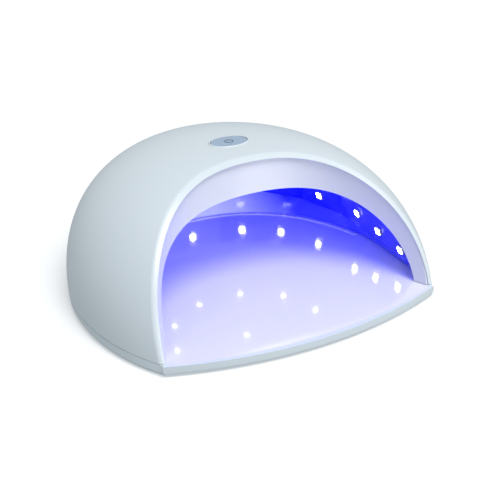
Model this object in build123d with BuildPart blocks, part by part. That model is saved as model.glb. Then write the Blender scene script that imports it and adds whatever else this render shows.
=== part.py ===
from build123d import *

import os
from math import asin, cos, degrees, radians, sin, sqrt

# Dome-shaped curing lamp: a leaning white dome with an arched mouth stands on a lift-off
# tray. +X is the width, +Y points to the back, +Z up. The origin is under the middle of
# the lamp, on the surface that it stands on. Millimetres.

# --- outer form -------------------------------------------------------------------------
half_width = 113.0
half_depth = 126.5        # of the whole ellipse, before the mouth cuts its front away
height = 86.0
lean = 21.5               # how far the crown lies behind the middle of the base
side_power = 2.54         # roundness of the wall's profile
crown_power = 2.2
mouth_y = -94.5           # the straight line between the two front corners
body_y = mouth_y + 77.0   # middle of the base ellipse
mouth_radius = 137.5      # the mouth is cut by a large cylinder along X
mouth_axis = (0, mouth_y + 131.7, -39.6)
mouth_tilt = 41.4         # the mouth leans back by this angle from the vertical
lip_radius = 3.2          # rounding of the arched edge round the mouth
lip_bulge = 17.5          # how far the tray's front curves out beyond the corners

# --- levels and walls ---------------------------------------------------------------------
tray_bottom = 1.0
tray_top = 7.0
seam = 0.4                # open joint between the tray and the housing
shell_wall = 1.9
liner_wall = 2.0
bezel_wall = 2.6
frame_plate = 2.0
gap = 0.15                # between neighbouring mouldings of one assembly
housing_bottom = tray_top + seam
frame_top = housing_bottom + frame_plate

# --- curing chamber -----------------------------------------------------------------------
# In plan the chamber is a straight-sided tunnel with a rounded back, half a superellipse.
# At each level: half width, where the rounding starts, its depth, and its power.
chamber_height = 63.5
foot_ring = {"z": 7.0, "half": 91.0, "start": mouth_y + 59.5, "depth": 105.0, "power": 2.0}
band_ring = {"z": 16.5, "half": 88.0, "start": mouth_y + 64.5, "depth": 117.0, "power": 2.6}
spring_ring = {"z": 30.0, "half": 86.5, "start": mouth_y + 65.5, "depth": 117.0, "power": 2.6}
ceiling_drift = 5.0       # how far the rounding's start comes forward up to the top
rim_inset = 0.7           # raised rim at the back of the floor plate
rim_width = 3.0
rim_height = 0.8
rim_reach = 26.0          # the rim starts this far behind the rounding's start

# --- trim line: the dome on which the bezel ends inside the chamber -------------------------
trim_half_width = 96.0
trim_half_depth = 101.0
trim_height = 63.5
trim_y = mouth_y + 60.0
trim_lean = lean * trim_height / height

# --- funnel between the mouth's edge and the chamber ----------------------------------------
funnel_reach = 16.0       # each outline lies this far from the plane of the mouth
funnel_front = {"half": 96.2, "spring": -15.0, "rise": 153.2, "power": 1.73}
funnel_back = {"half": 76.0, "spring": -14.0, "rise": 94.0, "power": 2.9}

# --- lamps --------------------------------------------------------------------------------
facet_start = 13.0        # on the rounded back, in degrees
facets = 7
facet_step = (180 - 2 * facet_start) / facets
band_front_y = mouth_y + 8.0
band_front_z = 8.2        # the band's lower edge rises from here to the level of band_ring
band_knee_y = mouth_y + 84.5
band_top = 36.0
band_back = 0.6           # inset of the band's back from the chamber's wall
band_face = 1.8           # inset of its lit face
side_led_first = (mouth_y + 29.5, 20.6)
side_led_step = (23.5, 3.9)
back_led_z = 26.5
package_size = 5.0
solder_gap = 0.05
package_height = 1.1
window_size = 4.2
window_height = 0.3
ceiling_y = mouth_y + 82.0
ceiling_half_x = 52.0
ceiling_half_y = 50.0
ceiling_angles = [0, 36, 72, 108, 144, 180]
ceiling_led_radius = 1.7
star_radius = 6.0
star_thickness = 1.6

# --- button on the crown --------------------------------------------------------------------
button_y = mouth_y + 101.0
button_half_x = 12.0
button_half_y = 8.3
button_gap = 0.35
ring_width = 1.2
button_top = height + 0.1

# --- power socket at the back ---------------------------------------------------------------
jack_z = 22.0
jack_face_y = mouth_y + 204.2
jack_radius = 5.4
plug_radius = 2.85
pin_radius = 1.05
plug_depth = 9.5
pin_length = 8.5

os.makedirs("parts", exist_ok=True)
profile_angles = (0, 15, 30, 45, 60, 72, 81, 86, 89)


def save(piece, name):
    piece.part.label = name
    export_step(piece.part, f"parts/{name}.step")


def dome(half_x, half_y, top, leaning, centre_y):
    """A solid dome, lofted through ellipses that shrink, rise and drift backwards."""
    with BuildPart() as solid:
        for angle in profile_angles:
            shrink = cos(radians(angle)) ** (2 / side_power)
            rise = sin(radians(angle)) ** (2 / crown_power)
            level = Plane((0, centre_y + leaning * rise, top * rise))
            with BuildSketch(level):
                Ellipse(half_x * shrink, half_y * shrink)
        loft()
    return solid.part


def outer_dome(inset=0.0):
    return dome(half_width - inset, half_depth - inset, height - inset, lean, body_y)


def trim_dome():
    return dome(trim_half_width, trim_half_depth, trim_height, trim_lean, trim_y)


def dome_shrink(rise):
    return (1 - rise**crown_power) ** (1 / side_power)


def ring_at(z):
    """Half width, rounding's start, depth and power of the chamber's plan at a height."""
    if z > spring_ring["z"]:
        share = (z - spring_ring["z"]) / (chamber_height - spring_ring["z"])
        scale = dome_shrink(z / chamber_height) / dome_shrink(spring_ring["z"] / chamber_height)
        start = spring_ring["start"] - ceiling_drift * share
        return spring_ring["half"] * scale, start, spring_ring["depth"] * scale, spring_ring["power"]
    lower, upper = (foot_ring, band_ring) if z < band_ring["z"] else (band_ring, spring_ring)
    share = (z - lower["z"]) / (upper["z"] - lower["z"])
    return [lower[key] + share * (upper[key] - lower[key]) for key in ("half", "start", "depth", "power")]


def round_back(half, start, depth, power, angle):
    """A point of the chamber's rounded back in plan."""
    across = abs(cos(radians(angle))) ** (2 / power)
    return (half * (across if angle <= 90 else -across), start + depth * sin(radians(angle)) ** (2 / power))


def tunnel_sketch(half, start, depth, power, z):
    """The chamber's plan at a height, open towards the mouth."""
    with BuildSketch(Plane.XY.offset(z)) as plan:
        with BuildLine():
            points = [round_back(half, start, depth, power, angle) for angle in range(0, 181, 15)]
            arc = Spline(*points, tangents=[(0, 1), (0, -1)])
            Polyline(arc @ 1, (-half, mouth_y - 40), (half, mouth_y - 40), arc @ 0)
        make_face()
    return plan.sketch


def chamber(outset=0.0):
    """The curing chamber's space: two straight-walled storeys under a vaulted ceiling."""
    with BuildPart() as space:
        for lower, upper in ((foot_ring, band_ring), (band_ring, spring_ring)):
            for ring in (lower, upper):
                half, depth = ring["half"] + outset, ring["depth"] + outset
                add(tunnel_sketch(half, ring["start"], depth, ring["power"], ring["z"]))
            loft(ruled=True)
        first = degrees(asin((spring_ring["z"] / chamber_height) ** (crown_power / 2)))
        for angle in [first] + [a for a in profile_angles if a > first + 4]:
            z = chamber_height * sin(radians(angle)) ** (2 / crown_power)
            half, start, depth, power = ring_at(z)
            lift = outset * (z - spring_ring["z"]) / (chamber_height - spring_ring["z"])
            add(tunnel_sketch(half + outset, start, depth + outset, power, z + lift))
        loft()
    return space.part


def mouth_cylinder(set_back=0.0):
    """Everything behind the curved face of the mouth."""
    with BuildPart() as cylinder:
        with Locations(Location(mouth_axis, (0, 90, 0))):
            Cylinder(mouth_radius - set_back, 3 * half_width)
    return cylinder.part


def funnel(outset=0.0):
    """The tapered space between the mouth and the chamber, lofted along the mouth's tilt."""
    tilt = radians(mouth_tilt)
    mouth = Plane(origin=(0, mouth_y, 0), x_dir=(1, 0, 0), z_dir=(0, -cos(tilt), sin(tilt)))
    turns = [radians(angle) for angle in range(0, 76, 15)]
    with BuildPart() as space:
        for arch, offset_along in ((funnel_front, funnel_reach), (funnel_back, -funnel_reach)):
            half = arch["half"] + outset
            rise = arch["rise"] + outset
            spring = arch["spring"]
            power = 2 / arch["power"]
            right = [(half * cos(t) ** power, spring + rise * sin(t) ** power) for t in turns]
            left = [(-x, y) for x, y in reversed(right)]
            with BuildSketch(mouth.offset(offset_along)):
                with BuildLine():
                    arc = Spline(*right, (0, spring + rise), *left, tangents=[(0, 1), (0, -1)])
                    Polyline(arc @ 1, (-half, -60), (half, -60), arc @ 0)
                make_face()
        loft(ruled=True)
    return space.part


def band_corner(index, z, inset):
    """A corner of the LED band. The band leans inwards, straight, from one level to the other."""
    ends = []
    for level in (band_ring["z"], band_top):
        half, start, depth, power = ring_at(level)
        if index in (0, facets + 2):
            ends.append(Vector(half - inset if index == 0 else inset - half, band_front_y, level))
        else:
            angle = facet_start + facet_step * (index - 1)
            corner = round_back(half - inset, start, depth - inset, power, angle)
            ends.append(Vector(*corner, level))
    return ends[0] + (ends[1] - ends[0]) * ((z - band_ring["z"]) / (band_top - band_ring["z"]))


def led_plane(index, share, z):
    """A plane on the band's face between two corners, looking into the chamber."""
    start = band_corner(index, z, band_face)
    end = band_corner(index + 1, z, band_face)
    below = band_corner(index, z - 1, band_face)
    normal = (start - below).cross(end - start)
    return Plane(origin=start + (end - start) * share, x_dir=end - start, z_dir=normal)


def band_leds():
    """Three lamps along each side, which rise with the band, and one on each back facet."""
    planes = [led_plane(index, 0.5, back_led_z) for index in range(1, facets + 1)]
    for count in range(3):
        y, z = [first + step * count for first, step in zip(side_led_first, side_led_step)]
        near, far = band_corner(0, z, band_face).Y, band_corner(1, z, band_face).Y
        share = (y - near) / (far - near)
        planes += [led_plane(0, share, z), led_plane(facets + 1, 1 - share, z)]
    return planes


def chamber_surface(x, y):
    """Height of the chamber's ceiling over a point, found by halving."""
    low, high = spring_ring["z"], chamber_height
    for _ in range(40):
        z = (low + high) / 2
        half, start, depth, power = ring_at(z)
        inside = (abs(x) / half) ** power + (max(y - start, 0) / depth) ** power < 1
        low, high = (z, high) if inside else (low, z)
    return low


def ceiling_plane(x, y):
    """A plane on the chamber's ceiling, looking straight out of the chamber."""
    step = 0.5
    slope_x = (chamber_surface(x + step, y) - chamber_surface(x - step, y)) / (2 * step)
    slope_y = (chamber_surface(x, y + step) - chamber_surface(x, y - step)) / (2 * step)
    return Plane(origin=(x, y, chamber_surface(x, y)), z_dir=(-slope_x, -slope_y, 1))


solid_inner = outer_dome(shell_wall)
solid_chamber = chamber()
solid_liner = chamber(liner_wall)
led_planes = band_leds()
solid_funnel_outer = funnel(bezel_wall)

# === tray ===================================================================================
tray_web = 2.2
tray_rim = 2.6
tray_step = 1.8
step_inset = 0.9
foot_radius = 6.0
foot_places = [(-74, -62), (74, -62), (-74, 52), (74, 52)]
magnet_radius = 4.0
magnet_height = 2.0
magnet_places = [(-103.2, -25), (103.2, -25), (-38, 88), (38, 88)]
peg_radius = 2.2
peg_height = 4.6
peg_slack = 0.5
peg_places = [(-94, 36), (94, 36)]
plate_thickness = 0.8
plate_margin = 3.4


def tray_slab(inset, low, high):
    """Plan of the lamp between two levels: the dome's foot and the curved front lip."""
    corner = half_width * sqrt(1 - ((body_y - mouth_y) / half_depth) ** 2) - inset
    with BuildPart() as slab:
        add(outer_dome(inset))
        split(bisect_by=Plane.XY.offset(high), keep=Keep.BOTTOM)
        split(bisect_by=Plane.XY.offset(low), keep=Keep.TOP)
        split(bisect_by=Plane.XZ.offset(-mouth_y), keep=Keep.BOTTOM)
        with BuildSketch(Plane.XY.offset(low)):
            with BuildLine():
                crest = (0, mouth_y - lip_bulge + inset)
                front = ThreePointArc((-corner, mouth_y), crest, (corner, mouth_y))
                Polyline(front @ 1, (corner - 1, mouth_y + 1), (1 - corner, mouth_y + 1), front @ 0)
            make_face()
        extrude(amount=high - low)
    return slab.part


# The floor plate lies in a shallow recess that runs from the front lip into the chamber.
with BuildPart() as plate_space:
    add(tray_slab(plate_margin, tray_top - plate_thickness, tray_top + 1))
    with BuildSketch(Plane.XY.offset(tray_top - plate_thickness)):
        with Locations((0, foot_ring["start"])):
            Ellipse(foot_ring["half"] - 0.5, foot_ring["depth"] - 0.5)
        with Locations((0, foot_ring["start"] - 70)):
            Rectangle(2 * foot_ring["half"] - 1, 140)
        with Locations((0, mouth_y - 40)):
            Rectangle(2 * half_width, 80)
        with Locations((0, mouth_y)):
            Rectangle(2 * half_width, 12)
    extrude(amount=plate_thickness + 1, mode=Mode.INTERSECT)

with BuildPart() as base_tray:
    add(tray_slab(0, tray_bottom + tray_step, tray_top))
    add(tray_slab(step_inset, tray_bottom, tray_bottom + tray_step))
    add(tray_slab(tray_rim, tray_bottom - 1, tray_top - tray_web), mode=Mode.SUBTRACT)
    with BuildSketch(Plane.XY.offset(tray_bottom)):
        with Locations(*foot_places):
            Circle(foot_radius + 1.4)
    extrude(amount=tray_top - tray_web - tray_bottom)
    with BuildSketch(Plane.XY.offset(tray_top)):
        with Locations(*peg_places):
            Circle(peg_radius)
    extrude(amount=peg_height, taper=6)
    add(plate_space.part, mode=Mode.SUBTRACT)
save(base_tray, "base_tray")

with BuildPart() as floor_plate:
    add(plate_space.part)
    split(bisect_by=Plane.XY.offset(tray_top), keep=Keep.BOTTOM)
    with BuildSketch(Plane.XY.offset(tray_top - plate_thickness / 2)):
        with Locations((0, foot_ring["start"])):
            Ellipse(foot_ring["half"] - rim_inset, foot_ring["depth"] - rim_inset)
            inner = rim_inset + rim_width
            Ellipse(foot_ring["half"] - inner, foot_ring["depth"] - inner, mode=Mode.SUBTRACT)
        with Locations((0, foot_ring["start"] + rim_reach)):
            Rectangle(2 * half_width, 4 * half_depth, align=(Align.CENTER, Align.MAX), mode=Mode.SUBTRACT)
    extrude(amount=plate_thickness / 2 + rim_height)
    fillet(floor_plate.edges().group_by(Axis.Z)[-1], 0.55)
save(floor_plate, "floor_plate")

with BuildPart() as rubber_feet:
    with BuildSketch():
        with Locations(*foot_places):
            Circle(foot_radius)
    extrude(amount=tray_bottom)
    chamfer(rubber_feet.faces().filter_by(Axis.Z).sort_by(Axis.Z)[:4].edges(), 0.3)
save(rubber_feet, "rubber_feet")

with BuildPart() as tray_magnets:
    with BuildSketch(Plane.XY.offset(tray_top - tray_web - magnet_height)):
        with Locations(*magnet_places):
            Circle(magnet_radius)
    extrude(amount=magnet_height)
save(tray_magnets, "tray_magnets")

# === housing mouldings ======================================================================
screw_places = [(-104.4, -6), (104.4, -6), (-62, 77), (62, 77)]
boss_radius = 3.4
boss_reach = 7.0          # of the boss round the power socket
screw_radius = 1.4
crown = Plane((0, button_y, 0))

with BuildPart() as shell_skin:
    add(outer_dome())
    add(solid_inner, mode=Mode.SUBTRACT)
    add(mouth_cylinder(), mode=Mode.INTERSECT)
    split(bisect_by=Plane.XY.offset(housing_bottom), keep=Keep.TOP)
    rim = shell_skin.faces().filter_by(GeomType.CYLINDER)[0]
    fillet(rim.edges().sort_by(SortBy.LENGTH)[-1], lip_radius)

with BuildPart() as shell_bosses:
    with BuildSketch(Plane.XY.offset(frame_top + gap)):
        with Locations(*screw_places):
            Circle(boss_radius)
    extrude(amount=36)
    with BuildSketch(Plane.XZ.offset(-(jack_face_y - boss_reach))):
        with Locations((0, jack_z)):
            Circle(jack_radius + 3.6)
    extrude(amount=-12)
    add(outer_dome(shell_wall / 2), mode=Mode.INTERSECT)

with BuildPart() as dome_shell:
    add(shell_skin.part)
    add(shell_bosses.part)
    with BuildSketch(Plane.XY.offset(frame_top)):
        with Locations(*screw_places):
            Circle(screw_radius)
    extrude(amount=9, mode=Mode.SUBTRACT)
    with BuildSketch(crown.offset(height - 10)):
        Ellipse(button_half_x + button_gap + ring_width, button_half_y + button_gap + ring_width)
    extrude(amount=20, mode=Mode.SUBTRACT)
    with BuildSketch(Plane.XZ.offset(-jack_face_y)):
        with Locations((0, jack_z)):
            Circle(jack_radius + 1.8)
    extrude(amount=-10, mode=Mode.SUBTRACT)
    with BuildSketch(Plane.XZ.offset(-(jack_face_y - 12))):
        with Locations((0, jack_z)):
            Circle(jack_radius + gap)
    extrude(amount=-20, mode=Mode.SUBTRACT)
save(dome_shell, "dome_shell")

with BuildPart() as front_bezel:
    add(solid_funnel_outer)
    add(funnel(), mode=Mode.SUBTRACT)
    add(outer_dome(shell_wall + gap), mode=Mode.INTERSECT)
    add(mouth_cylinder(0.8), mode=Mode.INTERSECT)
    add(trim_dome(), mode=Mode.SUBTRACT)
    split(bisect_by=Plane.XY.offset(housing_bottom), keep=Keep.TOP)
save(front_bezel, "front_bezel")


board_z = 70.0
board_thickness = 1.6
board_x = 68.0
board_y = 44.0
board_centre = (0, button_y - 1.0)
post_places = [(-29, -13), (29, -13), (-29, 22), (29, 22)]
ceiling_places = [
    (ceiling_half_x * cos(radians(a)), ceiling_y + ceiling_half_y * sin(radians(a)))
    for a in ceiling_angles
]
ceiling_places.append((0, ceiling_y + 4))
ceiling_planes = [ceiling_plane(x, y) for x, y in ceiling_places]

with BuildPart() as board_posts:
    with BuildSketch(Plane.XY.offset(40)):
        with Locations(*post_places):
            Circle(3.2)
    extrude(amount=board_z - 40)
    add(chamber(liner_wall / 2), mode=Mode.SUBTRACT)

with BuildPart() as chamber_liner:
    add(solid_liner)
    add(solid_chamber, mode=Mode.SUBTRACT)
    add(funnel(bezel_wall + gap), mode=Mode.SUBTRACT)
    add(mouth_cylinder(4), mode=Mode.INTERSECT)
    add(outer_dome(shell_wall + gap), mode=Mode.INTERSECT)
    split(bisect_by=Plane.XY.offset(housing_bottom), keep=Keep.TOP)
    add(board_posts.part)
    with BuildSketch(Plane.XY.offset(board_z)):
        with Locations(*post_places):
            Circle(1.0)
    extrude(amount=-5, mode=Mode.SUBTRACT)
    for seat in ceiling_planes:
        with BuildSketch(seat.offset(-3)):
            Circle(ceiling_led_radius + gap)
        extrude(amount=8, mode=Mode.SUBTRACT)
save(chamber_liner, "chamber_liner")

with BuildPart() as bottom_frame:
    add(outer_dome(shell_wall + gap))
    split(bisect_by=Plane.XY.offset(frame_top), keep=Keep.BOTTOM)
    split(bisect_by=Plane.XY.offset(housing_bottom), keep=Keep.TOP)
    add(mouth_cylinder(3), mode=Mode.INTERSECT)
    add(chamber(liner_wall + gap), mode=Mode.SUBTRACT)
    add(funnel(bezel_wall + gap), mode=Mode.SUBTRACT)
    with BuildSketch(Plane.XY.offset(housing_bottom)):
        with Locations(*peg_places):
            Circle(peg_radius + peg_slack)
        with Locations(*screw_places):
            Circle(screw_radius + 0.2)
    extrude(amount=frame_plate, mode=Mode.SUBTRACT)
    with BuildSketch(Plane.XY.offset(housing_bottom)):
        with Locations(*screw_places):
            Circle(3.0)
    extrude(amount=1.4, taper=45, mode=Mode.SUBTRACT)
save(bottom_frame, "bottom_frame")

with BuildPart() as housing_magnets:
    with BuildSketch(Plane.XY.offset(frame_top)):
        with Locations(*magnet_places):
            Circle(magnet_radius)
    extrude(amount=magnet_height)
save(housing_magnets, "housing_magnets")

with BuildPart() as frame_screws:
    with BuildSketch(Plane.XY.offset(housing_bottom + 0.1)):
        with Locations(*screw_places):
            Circle(2.8)
    extrude(amount=1.3, taper=45)
    with BuildSketch(Plane.XY.offset(housing_bottom + 0.1)):
        with Locations(*screw_places):
            Circle(screw_radius)
    extrude(amount=9)
save(frame_screws, "frame_screws")

# === lamps ==================================================================================
with BuildPart() as led_band:
    for z in (band_front_z - 2, band_top):
        back = [band_corner(index, z, band_back) for index in range(facets + 3)]
        face = [band_corner(index, z, band_face) for index in reversed(range(facets + 3))]
        with BuildSketch(Plane.XY.offset(z)):
            with BuildLine():
                Polyline(*[(p.X, p.Y) for p in back + face], close=True)
            make_face()
    loft(ruled=True)
    with BuildSketch(Plane.YZ):
        with BuildLine():
            rising = Line((band_front_y, band_front_z), (band_knee_y, band_ring["z"]))
            below = rising @ 0 - (30, 30)
            Polyline(rising @ 1, (half_depth, band_ring["z"]), (half_depth, 0), below, rising @ 0)
        make_face()
    extrude(amount=half_width, both=True, mode=Mode.SUBTRACT)
    add(funnel(bezel_wall + 2 * gap), mode=Mode.SUBTRACT)
    add(mouth_cylinder(12), mode=Mode.INTERSECT)
save(led_band, "led_band")

with BuildPart() as wall_led_packages:
    for face in led_planes:
        with BuildSketch(face.offset(solder_gap)):
            RectangleRounded(package_size, package_size, 0.5)
    extrude(amount=package_height)
save(wall_led_packages, "wall_led_packages")

with BuildPart() as wall_led_windows:
    for face in led_planes:
        with BuildSketch(face.offset(solder_gap + package_height)):
            RectangleRounded(window_size, window_size, 0.6)
    extrude(amount=window_height)
save(wall_led_windows, "wall_led_windows")

with BuildPart() as ceiling_leds:
    for seat in ceiling_planes:
        with BuildSketch(seat.offset(-0.7)):
            Circle(ceiling_led_radius)
    extrude(amount=0.7 + liner_wall + 0.5)
save(ceiling_leds, "ceiling_leds")

with BuildPart() as ceiling_led_boards:
    for seat in ceiling_planes:
        with BuildSketch(seat.offset(liner_wall + 0.5)):
            Circle(star_radius)
    extrude(amount=star_thickness)
save(ceiling_led_boards, "ceiling_led_boards")

# === control board ==========================================================================
board_top = board_z + board_thickness
with BuildPart() as control_board:
    with BuildSketch(Plane.XY.offset(board_z)):
        with Locations(board_centre):
            RectangleRounded(board_x, board_y, 2)
        with Locations(*post_places):
            Circle(1.2, mode=Mode.SUBTRACT)
    extrude(amount=board_thickness)
save(control_board, "control_board")

with BuildPart() as board_screws:
    with BuildSketch(Plane.XY.offset(board_top)):
        with Locations(*post_places):
            Circle(2.2)
    extrude(amount=1.4)
    with BuildSketch(Plane.XY.offset(board_top)):
        with Locations(*post_places):
            Circle(1.0)
    extrude(amount=-6)
save(board_screws, "board_screws")


def board_block(name, places, size_x, size_y, tall, corner=0.3):
    with BuildPart() as block:
        with BuildSketch(Plane.XY.offset(board_top)):
            with Locations(*places):
                RectangleRounded(size_x, size_y, corner)
        extrude(amount=tall)
    save(block, name)


board_block("controller_chip", [(-17, 12)], 7.5, 5.0, 1.6)
board_block("led_driver_chips", [(-17, -4), (17, -4)], 5.0, 4.0, 1.5)
board_block("power_inductor", [(20, 10)], 8.0, 8.0, 4.0, 1.5)
board_block("board_connectors", [(-9, 24), (9, 24)], 7.5, 4.6, 5.0)

with BuildPart() as board_capacitors:
    with BuildSketch(Plane.XY.offset(board_top)):
        with Locations((30, 3), (-28, 3)):
            Circle(3.1)
    extrude(amount=6.5)
    fillet(board_capacitors.faces().sort_by(Axis.Z)[-2:].edges(), 0.5)
save(board_capacitors, "board_capacitors")

# === button =================================================================================
switch_height = 3.5
plunger_radius = 1.7
plunger_reach = 1.0
stem_radius = 2.6
stem_bottom = board_top + switch_height + plunger_reach + 0.1
cap_thickness = 2.4

with BuildPart() as tact_switch:
    with BuildSketch(Plane.XY.offset(board_top)):
        with Locations((0, button_y)):
            RectangleRounded(6, 6, 0.4)
    extrude(amount=switch_height)
    with BuildSketch(Plane.XY.offset(board_top + switch_height)):
        with Locations((0, button_y)):
            Circle(plunger_radius + 0.3)
    extrude(amount=-1.6, mode=Mode.SUBTRACT)
save(tact_switch, "tact_switch")

with BuildPart() as switch_plunger:
    with BuildSketch(Plane.XY.offset(board_top + switch_height - 0.9)):
        with Locations((0, button_y)):
            Circle(plunger_radius)
    extrude(amount=0.9 + plunger_reach)
save(switch_plunger, "switch_plunger")

with BuildPart() as power_button:
    with BuildSketch(crown.offset(button_top - cap_thickness)):
        Ellipse(button_half_x, button_half_y)
    extrude(amount=cap_thickness)
    fillet(power_button.edges().sort_by(Axis.Z)[-1], 0.5)
    with BuildSketch(crown.offset(stem_bottom)):
        Circle(stem_radius)
    extrude(until=Until.NEXT)
save(power_button, "power_button")

icon_radius = 2.9
with BuildPart() as button_icon:
    with BuildSketch(crown.offset(button_top)):
        Circle(icon_radius)
        Circle(icon_radius - 0.7, mode=Mode.SUBTRACT)
        with Locations((0, icon_radius)):
            Rectangle(2.2, 2.2, mode=Mode.SUBTRACT)
        with Locations((0, icon_radius - 0.9)):
            Rectangle(0.7, 3.0)
    extrude(amount=0.12)
save(button_icon, "button_icon")

with BuildPart() as button_ring:
    outer_x = button_half_x + button_gap + ring_width
    outer_y = button_half_y + button_gap + ring_width
    with BuildSketch(crown.offset(81.0)):
        Ellipse(outer_x - gap, outer_y - gap)
    extrude(amount=button_top + 0.15 - 81.0)
    fillet(button_ring.edges().sort_by(Axis.Z)[-1], 0.5)
    with BuildSketch(crown.offset(81.0)):
        Ellipse(outer_x + 2.5, outer_y + 2.5)
    extrude(amount=1.5)
    with BuildSketch(crown.offset(80.0)):
        Ellipse(button_half_x + button_gap, button_half_y + button_gap)
    extrude(amount=10, mode=Mode.SUBTRACT)
save(button_ring, "button_ring")

# === power socket ===========================================================================
jack_length = 10.5
flange_radius = 6.9
flange_thickness = 1.4
nut_height = 2.4
lug_length = 3.0
mouth_of_jack = jack_face_y + flange_thickness


def jack_plane(y):
    """A plane across the socket's axis, looking out of the back."""
    return Plane(origin=(0, y, jack_z), x_dir=(-1, 0, 0), z_dir=(0, 1, 0))


with BuildPart() as dc_jack:
    with BuildSketch(jack_plane(jack_face_y - jack_length)):
        Circle(jack_radius)
    extrude(amount=jack_length)
    with BuildSketch(jack_plane(jack_face_y)):
        Circle(flange_radius)
    extrude(amount=flange_thickness)
    fillet(dc_jack.edges().sort_by(Axis.Y)[-1], 0.4)
    with BuildSketch(jack_plane(mouth_of_jack)):
        Circle(plug_radius)
    extrude(amount=-plug_depth, mode=Mode.SUBTRACT)
save(dc_jack, "dc_jack")

with BuildPart() as dc_jack_pin:
    with BuildSketch(jack_plane(mouth_of_jack - plug_depth)):
        Circle(pin_radius)
    extrude(amount=pin_length)
    fillet(dc_jack_pin.edges().sort_by(Axis.Y)[-1], 0.5)
save(dc_jack_pin, "dc_jack_pin")

with BuildPart() as dc_jack_nut:
    with BuildSketch(jack_plane(jack_face_y - boss_reach - gap - nut_height)):
        RegularPolygon(8.2, 6)
        Circle(jack_radius + 0.05, mode=Mode.SUBTRACT)
    extrude(amount=nut_height)
save(dc_jack_nut, "dc_jack_nut")

lug_y = jack_face_y - jack_length
with BuildPart() as dc_jack_lugs:
    with BuildSketch(jack_plane(lug_y)):
        with Locations((-2.4, 0), (2.4, 0)):
            Rectangle(2.2, 0.5)
    extrude(amount=-lug_length)
save(dc_jack_lugs, "dc_jack_lugs")

lead_radius = 0.8
lead_socket_x = 9.0       # the connector that they end in, on the control board
with BuildPart() as power_leads:
    for side in (-1, 1):
        x = 2.4 * side
        with BuildLine() as route:
            FilletPolyline(
                (x, lug_y - lug_length, jack_z),
                (x, lug_y - lug_length - 3.6, jack_z),
                (x, 92, 36),
                (x, 66, 60),
                (lead_socket_x + x, 38, 74),
                (lead_socket_x + x, 26.4, 74),
                radius=3,
            )
        with BuildSketch(Plane(origin=route.line @ 0, z_dir=route.line % 0)):
            Circle(lead_radius)
        sweep(path=route.line)
save(power_leads, "power_leads")
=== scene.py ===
"""UV curing lamp: a glossy white dome with a lit curing chamber, on its lift-off tray."""

import math

import bmesh
import bpy
from mathutils import Matrix, Vector


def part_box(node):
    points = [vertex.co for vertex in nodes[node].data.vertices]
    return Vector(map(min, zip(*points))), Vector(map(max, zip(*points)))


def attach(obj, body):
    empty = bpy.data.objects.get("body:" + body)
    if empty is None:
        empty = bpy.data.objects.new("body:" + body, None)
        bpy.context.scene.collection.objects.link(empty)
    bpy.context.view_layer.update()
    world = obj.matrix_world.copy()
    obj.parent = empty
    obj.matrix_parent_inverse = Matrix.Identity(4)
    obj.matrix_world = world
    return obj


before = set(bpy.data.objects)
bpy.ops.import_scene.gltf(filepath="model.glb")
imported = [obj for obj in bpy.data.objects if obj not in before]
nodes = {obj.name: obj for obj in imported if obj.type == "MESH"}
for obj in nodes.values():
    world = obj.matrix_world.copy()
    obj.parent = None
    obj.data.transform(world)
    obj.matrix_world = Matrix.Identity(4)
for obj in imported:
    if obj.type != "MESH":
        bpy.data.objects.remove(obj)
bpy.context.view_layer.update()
scene = bpy.context.scene
MM = 0.001


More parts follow.
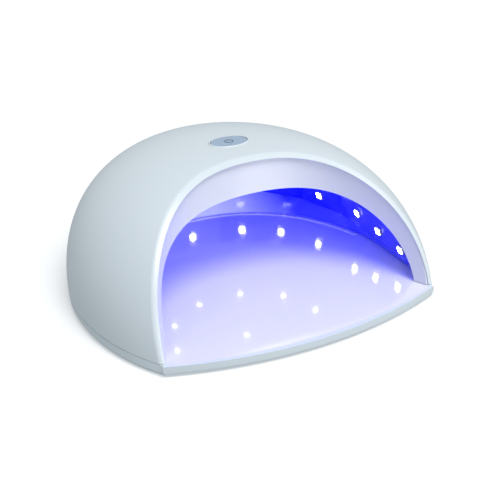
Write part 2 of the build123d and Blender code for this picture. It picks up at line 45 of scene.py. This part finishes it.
# --- materials --------------------------------------------------------------------------
class Surface:
    """A principled material, with short calls for the procedural detail in it."""

    def __init__(self, name, base, rough=0.4, **sockets):
        self.mat = bpy.data.materials.new(name)
        self.mat.use_nodes = True
        self.tree = self.mat.node_tree
        self.shader = self.tree.nodes["Principled BSDF"]
        self.shader.inputs["Base Color"].default_value = (*base, 1)
        self.shader.inputs["Roughness"].default_value = rough
        self.base = base
        self.place = self.tree.nodes.new("ShaderNodeTexCoord").outputs["Object"]
        for socket, value in sockets.items():
            self.shader.inputs[socket.replace("_", " ")].default_value = value

    def node(self, kind, settings=(), **inputs):
        """A node with its inputs set or linked: i0, i1 and so on by number, others by name."""
        made = self.tree.nodes.new(kind)
        for key, value in dict(settings).items():
            setattr(made, key, value)
        for key, value in inputs.items():
            numbered = key[0] == "i" and key[1:].isdigit()
            socket = made.inputs[int(key[1:]) if numbered else key.replace("_", " ")]
            if isinstance(value, bpy.types.NodeSocket):
                self.tree.links.new(value, socket)
            else:
                socket.default_value = value
        return made

    def noise(self, per_mm, detail=3.0, roughness=0.55, stretch=(1, 1, 1)):
        scale = [per_mm / MM * s for s in stretch]
        scaled = self.node("ShaderNodeMapping", Vector=self.place, Scale=scale)
        return self.node(
            "ShaderNodeTexNoise",
            Vector=scaled.outputs[0],
            Scale=1.0,
            Detail=detail,
            Roughness=roughness,
        ).outputs["Fac"]

    def spread(self, value, low, high, start=0.35, end=0.65):
        return self.node(
            "ShaderNodeMapRange",
            Value=value,
            From_Min=start,
            From_Max=end,
            To_Min=low,
            To_Max=high,
        ).outputs[0]

    def mix(self, factor, first, second):
        """The colour between two others: numbers 0, 6 and 7 are its factor and colours."""
        made = self.node("ShaderNodeMix", {"data_type": "RGBA"}, i0=factor, i6=first, i7=second)
        return made.outputs[2]

    def tint(self, factor, other):
        """Varies the base colour towards another by a 0-1 pattern."""
        mixed = self.mix(factor, (*self.base, 1), (*other, 1))
        self.tree.links.new(mixed, self.shader.inputs["Base Color"])
        return self

    def vary_gloss(self, factor, low, high):
        self.tree.links.new(self.spread(factor, low, high), self.shader.inputs["Roughness"])
        return self

    def painted_light_zones(self, upper, upper_z, back, back_x, back_y):
        """Painted light in two zones, above a height and at the back, fading out towards +X.

        Each zone has a paler painted colour and a painted glow, though the liner is no lamp.
        They are placed on the object to match how it looks when lit, and don't follow from its
        shape.
        """
        axes = self.node("ShaderNodeSeparateXYZ", Vector=self.place)
        high = self.spread(axes.outputs["Z"], 0.0, 1.0, *upper_z)
        fade = self.spread(axes.outputs["X"], 1.0, 0.0, *back_x)
        rear = self.spread(axes.outputs["Y"], 0.0, 1.0, *back_y)
        both = self.node("ShaderNodeMath", {"operation": "MULTIPLY"}, i0=fade, i1=rear)
        tinted = self.shader.inputs["Base Color"].links[0].from_socket
        # Painted light: the base colour turns paler and a glow is painted in, in both zones.
        for socket, start, upper_painted_light, back_painted_light in (
            ("Base Color", tinted, upper[0], back[0]),
            ("Emission Color", (0, 0, 0, 1), upper[1], back[1]),
        ):
            low = self.mix(both.outputs[0], start, (*back_painted_light, 1))
            whole = self.mix(high, low, (*upper_painted_light, 1))
            self.tree.links.new(whole, self.shader.inputs[socket])
        self.shader.inputs["Emission Strength"].default_value = 1.0
        return self

    def bump(self, height, depth_mm):
        bumped = self.node("ShaderNodeBump", Height=height, Distance=depth_mm * MM)
        self.tree.links.new(bumped.outputs[0], self.shader.inputs["Normal"])
        return self


# Features per millimetre of the noise patterns
FLOW = 0.018
GLOSS = 0.03
METAL_TONE = 0.35
METAL_GLOSS = 1.2
METAL_GRAIN = 2.5
METAL_DEPTH = 0.003  # mm
# Roughness at the two ends of a gloss pattern, for each of its middle value
GLOSS_SWING = (0.94, 1.07)
METAL_GLOSS_SWING = (0.7, 1.4)


def moulded(name, base, other, rough, coat, grain_mm=0.9, depth=0.004, coat_rough=0.06):
    """Glossy moulded plastic: a faint flow pattern in its colour, and a fine orange peel."""
    made = Surface(name, base, rough, Coat_Weight=coat, Coat_Roughness=coat_rough, IOR=1.5)
    made.tint(made.spread(made.noise(FLOW, 2), 0, 1), other)
    made.vary_gloss(made.noise(GLOSS, 2), *(rough * swing for swing in GLOSS_SWING))
    made.bump(made.noise(1 / grain_mm, 1), depth)
    return made


def metal(name, base, other, rough, stretch=(1, 1, 1)):
    """Bare or plated metal: its tone, gloss and fine grain vary, along a stretch if any."""
    made = Surface(name, base, rough, Metallic=1.0)
    made.tint(made.spread(made.noise(METAL_TONE, 4, stretch=stretch), 0, 1), other)
    gloss = made.noise(METAL_GLOSS, 5, stretch=stretch)
    made.vary_gloss(gloss, *(rough * swing for swing in METAL_GLOSS_SWING))
    made.bump(made.noise(METAL_GRAIN, 3, stretch=stretch), METAL_DEPTH)
    return made


shell_white = moulded(
    "shell_plastic", (0.72, 0.78, 0.825), (0.713, 0.774, 0.82), 0.30, 0.25, 5.0, 0.0015
)
bezel_white = moulded(
    "bezel_plastic", (0.72, 0.735, 0.86), (0.712, 0.727, 0.855), 0.36, 0.2, 5.0, 0.0015
)
liner_blue = moulded(
    "liner_plastic", (0.14, 0.16, 0.92), (0.13, 0.15, 0.90), 0.34, 0.25, 5.0, 0.0015
)
# Painted light on the liner: a paler colour with a faint painted glow near the top, and a paler
# colour with a stronger painted glow at the back, fading out towards +X.
liner_blue.painted_light_zones(
    upper=((0.24, 0.26, 0.90), (0.04, 0.04, 0.12)),
    upper_z=(0.036, 0.040),
    back=((0.20, 0.22, 0.90), (0.38, 0.40, 0.5)),
    back_x=(0.016, 0.066),
    back_y=(0.015, 0.035),
)
floor_white = moulded(
    "floor_plastic", (0.93, 0.915, 0.92), (0.92, 0.905, 0.915), 0.12, 1.0, 6.0, 0.001, 0.02
)
floor_white.shader.inputs["Metallic"].default_value = 0.10
band_film = moulded(
    "band_film", (0.02, 0.03, 0.92), (0.018, 0.027, 0.88), 0.25, 0.6, 4.0, 0.001
)
band_film.shader.inputs["Metallic"].default_value = 0.35

ceramic = moulded("led_ceramic", (0.80, 0.78, 0.70), (0.72, 0.70, 0.62), 0.35, 0.3, 0.3)
window = moulded("led_window", (0.90, 0.90, 1.0), (0.82, 0.84, 0.98), 0.15, 0.6, 0.4, 0.004)
ceiling_window = moulded(
    "ceiling_led_window", (0.90, 0.90, 1.0), (0.82, 0.84, 0.98), 0.15, 0.6, 0.4, 0.004
)
for lens, colour, strength in (
    (window, (0.93, 0.92, 1.0, 1), 22.0),
    (ceiling_window, (0.80, 0.80, 1.0, 1), 7.0),
):
    lens.shader.inputs["Emission Color"].default_value = colour
    lens.shader.inputs["Emission Strength"].default_value = strength
rubber = moulded("foot_rubber", (0.045, 0.045, 0.05), (0.06, 0.06, 0.065), 0.75, 0.0, 0.4, 0.02)
board_green = moulded("board_mask", (0.02, 0.12, 0.05), (0.015, 0.09, 0.04), 0.35, 0.4, 0.8)
chip_black = moulded(
    "chip_epoxy", (0.022, 0.022, 0.025), (0.035, 0.035, 0.038), 0.5, 0.0, 0.2, 0.01
)
cream = moulded("connector_nylon", (0.74, 0.70, 0.58), (0.68, 0.64, 0.52), 0.45, 0.1, 0.4)
blue_cap = moulded(
    "button_plastic", (0.36, 0.47, 0.62), (0.34, 0.45, 0.60), 0.28, 0.5, 3.0, 0.001
)
icon_dark = moulded("icon_ink", (0.10, 0.16, 0.24), (0.13, 0.19, 0.28), 0.4, 0.0, 0.3)
ring_white = moulded(
    "ring_plastic", (0.80, 0.85, 0.89), (0.79, 0.84, 0.885), 0.16, 0.8, 3.0, 0.001
)
jack_black = moulded(
    "jack_plastic", (0.028, 0.028, 0.03), (0.04, 0.04, 0.042), 0.38, 0.3, 0.3, 0.01
)
lead_red = moulded("lead_insulation", (0.55, 0.03, 0.025), (0.45, 0.02, 0.02), 0.4, 0.2, 0.5)
nickel = metal("nickel_plate", (0.72, 0.71, 0.68), (0.60, 0.59, 0.57), 0.25)
screw_steel = metal("screw_steel", (0.60, 0.61, 0.63), (0.48, 0.49, 0.51), 0.32)
switch_steel = metal("switch_steel", (0.66, 0.67, 0.68), (0.55, 0.56, 0.58), 0.28, (1, 6, 1))
can_metal = metal("capacitor_sleeve", (0.55, 0.57, 0.60), (0.44, 0.46, 0.50), 0.3, (1, 1, 0.2))
brass = metal("contact_brass", (0.78, 0.62, 0.30), (0.66, 0.50, 0.24), 0.25)

finish = {
    "base_tray": shell_white,
    "floor_plate": floor_white,
    "rubber_feet": rubber,
    "tray_magnets": nickel,
    "dome_shell": shell_white,
    "front_bezel": bezel_white,
    "chamber_liner": liner_blue,
    "bottom_frame": bezel_white,
    "housing_magnets": nickel,
    "frame_screws": screw_steel,
    "led_band": band_film,
    "wall_led_packages": ceramic,
    "wall_led_windows": window,
    "ceiling_leds": ceiling_window,
    "ceiling_led_boards": board_green,
    "control_board": board_green,
    "board_screws": screw_steel,
    "controller_chip": chip_black,
    "led_driver_chips": chip_black,
    "power_inductor": chip_black,
    "board_connectors": cream,
    "board_capacitors": can_metal,
    "tact_switch": switch_steel,
    "switch_plunger": chip_black,
    "power_button": blue_cap,
    "button_icon": icon_dark,
    "button_ring": ring_white,
    "dc_jack": jack_black,
    "dc_jack_pin": brass,
    "dc_jack_nut": nickel,
    "dc_jack_lugs": brass,
    "power_leads": lead_red,
}
for name, surface in finish.items():
    mesh = nodes[name].data
    mesh.materials.clear()
    mesh.materials.append(surface.mat)

# --- light from the lamps -----------------------------------------------------------------
for name in ("wall_led_windows", "ceiling_leds"):
    nodes[name].visible_diffuse = False


CHAMBER_BLUE = (0.028, 0.022, 1.0)
CHAMBER_WATTS = 0.10
CHAMBER_WIDTH = 0.10
CHAMBER_RISE = 0.050  # of the light above the foot of the liner


def glow(name, place, aim, watts, width, height=None, colour=CHAMBER_BLUE):
    """An area light that neither the camera nor a gloss shows."""
    data = bpy.data.lights.new(name, "AREA")
    data.shape = "RECTANGLE" if height else "DISK"
    data.size = width
    if height:
        data.size_y = height
    data.energy = watts
    data.color = colour
    lamp = bpy.data.objects.new(name, data)
    bpy.context.collection.objects.link(lamp)
    lamp.location = place
    lamp.rotation_euler = (Vector(aim) - Vector(place)).to_track_quat("-Z", "Y").to_euler()
    lamp.visible_camera = False
    lamp.visible_glossy = False
    return lamp


liner_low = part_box("chamber_liner")[0]
band_low, band_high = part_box("led_band")
chamber_mid = (band_low + band_high) / 2
ceiling = glow(
    "ceiling_glow",
    (0, chamber_mid.y, liner_low.z + CHAMBER_RISE),
    (0, chamber_mid.y, 0),
    CHAMBER_WATTS,
    CHAMBER_WIDTH,
)
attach(ceiling, "housing")

# --- folds of the reflecting band -------------------------------------------------------------
SEAM_RADIUS = 0.22 * MM
SEAM_SHORTER = 0.6 * MM  # than the fold it lies on
SEAM_SIDES = 10
FOLD_MIN_HEIGHT = 10 * MM
FOLD_UPRIGHT = 0.95  # least rise for each length
FOLD_SPREAD = 8.0  # degrees that edges of one fold may lie apart


def band_folds():
    """The upright folds of the band, on the side that faces the lamp's middle."""
    mesh = nodes["led_band"].data
    place = nodes["led_band"].matrix_world
    points = [place @ v.co for v in mesh.vertices]
    folds = {}
    for edge in mesh.edges:
        low, high = sorted((points[i] for i in edge.vertices), key=lambda p: p.z)
        rise = high - low
        if rise.z < FOLD_MIN_HEIGHT or rise.z < FOLD_UPRIGHT * rise.length:
            continue
        if low.y < chamber_mid.y:
            continue
        bearing = round(math.degrees(math.atan2(high.y, high.x)) / FOLD_SPREAD)
        face = (-high.xy.length, rise.length)
        if bearing not in folds or face > folds[bearing][0]:
            folds[bearing] = (face, low, high)
    return [(low, high) for _, low, high in folds.values()]


seam_shape = bmesh.new()
for low, high in band_folds():
    along = high - low
    turn = along.to_track_quat("Z", "Y").to_matrix().to_4x4()
    bmesh.ops.create_cone(
        seam_shape,
        cap_ends=True,
        segments=SEAM_SIDES,
        radius1=SEAM_RADIUS,
        radius2=SEAM_RADIUS,
        depth=along.length - SEAM_SHORTER,
        matrix=Matrix.Translation((low + high) / 2) @ turn,
    )
seam_mesh = bpy.data.meshes.new("band_seams")
seam_shape.to_mesh(seam_mesh)
seam_shape.free()
seams = bpy.data.objects.new("band_seams", seam_mesh)
bpy.context.collection.objects.link(seams)
seam_blue = moulded(
    "band_seam", (0.02, 0.025, 0.55), (0.015, 0.02, 0.5), 0.4, 0.2, 3.0, 0.001
)
seam_mesh.materials.append(seam_blue.mat)
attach(seams, "housing")

# --- studio ---------------------------------------------------------------------------------
WORLD_LIGHT = (0.88, 0.96, 1.0, 1)
WORLD_STRENGTH = 0.48
FLOOR_TONE = (0.74, 0.74, 0.74)
FLOOR_TONE_OTHER = (0.73, 0.73, 0.73)
FLOOR_GLOW = 0.30
FLOOR_SIZE = 6.0
SUN_STRENGTH = 1.75
SUN_ANGLE = math.radians(35)
SUN_DIRECTION = Vector((-0.20, 0.42, -1.0))

# The world lights the object softly, and shows a plain white ground behind it.
world = bpy.data.worlds.new("studio")
scene.world = world
world.use_nodes = True
background = world.node_tree.nodes["Background"]
background.inputs["Color"].default_value = WORLD_LIGHT
background.inputs["Strength"].default_value = WORLD_STRENGTH
backdrop = world.node_tree.nodes.new("ShaderNodeBackground")
backdrop.inputs["Color"].default_value = (1, 1, 1, 1)
backdrop.inputs["Strength"].default_value = 1.0
seen = world.node_tree.nodes.new("ShaderNodeLightPath")
choose = world.node_tree.nodes.new("ShaderNodeMixShader")
links = world.node_tree.links
links.new(seen.outputs["Is Camera Ray"], choose.inputs[0])
links.new(background.outputs[0], choose.inputs[1])
links.new(backdrop.outputs[0], choose.inputs[2])
links.new(choose.outputs[0], world.node_tree.nodes["World Output"].inputs["Surface"])

floor_mesh = bpy.data.meshes.new("studio_floor")
shape = bmesh.new()
bmesh.ops.create_grid(shape, x_segments=8, y_segments=8, size=FLOOR_SIZE)
shape.to_mesh(floor_mesh)
shape.free()
studio_floor = bpy.data.objects.new("studio_floor", floor_mesh)
bpy.context.collection.objects.link(studio_floor)
paper = Surface("floor_paper", FLOOR_TONE, 0.9, Emission_Strength=FLOOR_GLOW)
paper.shader.inputs["Emission Color"].default_value = (1, 1, 1, 1)
paper.shader.inputs["Specular IOR Level"].default_value = 0.0
paper.tint(paper.spread(paper.noise(0.02, 3), 0, 1), FLOOR_TONE_OTHER)
floor_mesh.materials.append(paper.mat)
# The floor is seen and takes shadows, but neither lights the object nor shows in its gloss.
studio_floor.visible_diffuse = False
studio_floor.visible_glossy = False


def softbox(name, place, aim, watts, size):
    """A square white light that a gloss shows."""
    lamp = glow(name, place, aim, watts, size, size, (1, 1, 1))
    lamp.visible_glossy = True
    return lamp


softbox("top", place=(-0.3, -0.5, 1.6), aim=(0, 0, 0.05), watts=2, size=1.6)
softbox("fill", place=(0.35, -1.2, 0.20), aim=(0, 0, 0.03), watts=3.5, size=0.6)
sky_data = bpy.data.lights.new("sky", "SUN")
sky_data.energy = SUN_STRENGTH
sky_data.angle = SUN_ANGLE
sky = bpy.data.objects.new("sky", sky_data)
bpy.context.collection.objects.link(sky)
sky.rotation_euler = SUN_DIRECTION.to_track_quat("-Z", "Y").to_euler()

# --- camera ---------------------------------------------------------------------------------
AZIMUTH = math.radians(-29.55)
ELEVATION = math.radians(28.7)
DISTANCE = 0.4887
TARGET = Vector((0, -0.0945, 0.040))
SENSOR_WIDTH = 36.0
FOCAL_LENGTH = 62.773
SHIFT = (-0.1175, 0.0473)

back = Vector(
    (
        math.sin(AZIMUTH) * math.cos(ELEVATION),
        -math.cos(AZIMUTH) * math.cos(ELEVATION),
        math.sin(ELEVATION),
    )
)
camera_data = bpy.data.cameras.new("camera")
camera_data.sensor_width = SENSOR_WIDTH
camera_data.lens = FOCAL_LENGTH
camera_data.shift_x, camera_data.shift_y = SHIFT
camera = bpy.data.objects.new("camera", camera_data)
bpy.context.collection.objects.link(camera)
camera.location = TARGET + back * DISTANCE
camera.rotation_euler = (-back).to_track_quat("-Z", "Y").to_euler()
scene.camera = camera
scene.view_settings.view_transform = "Standard"

bpy.context.view_layer.update()
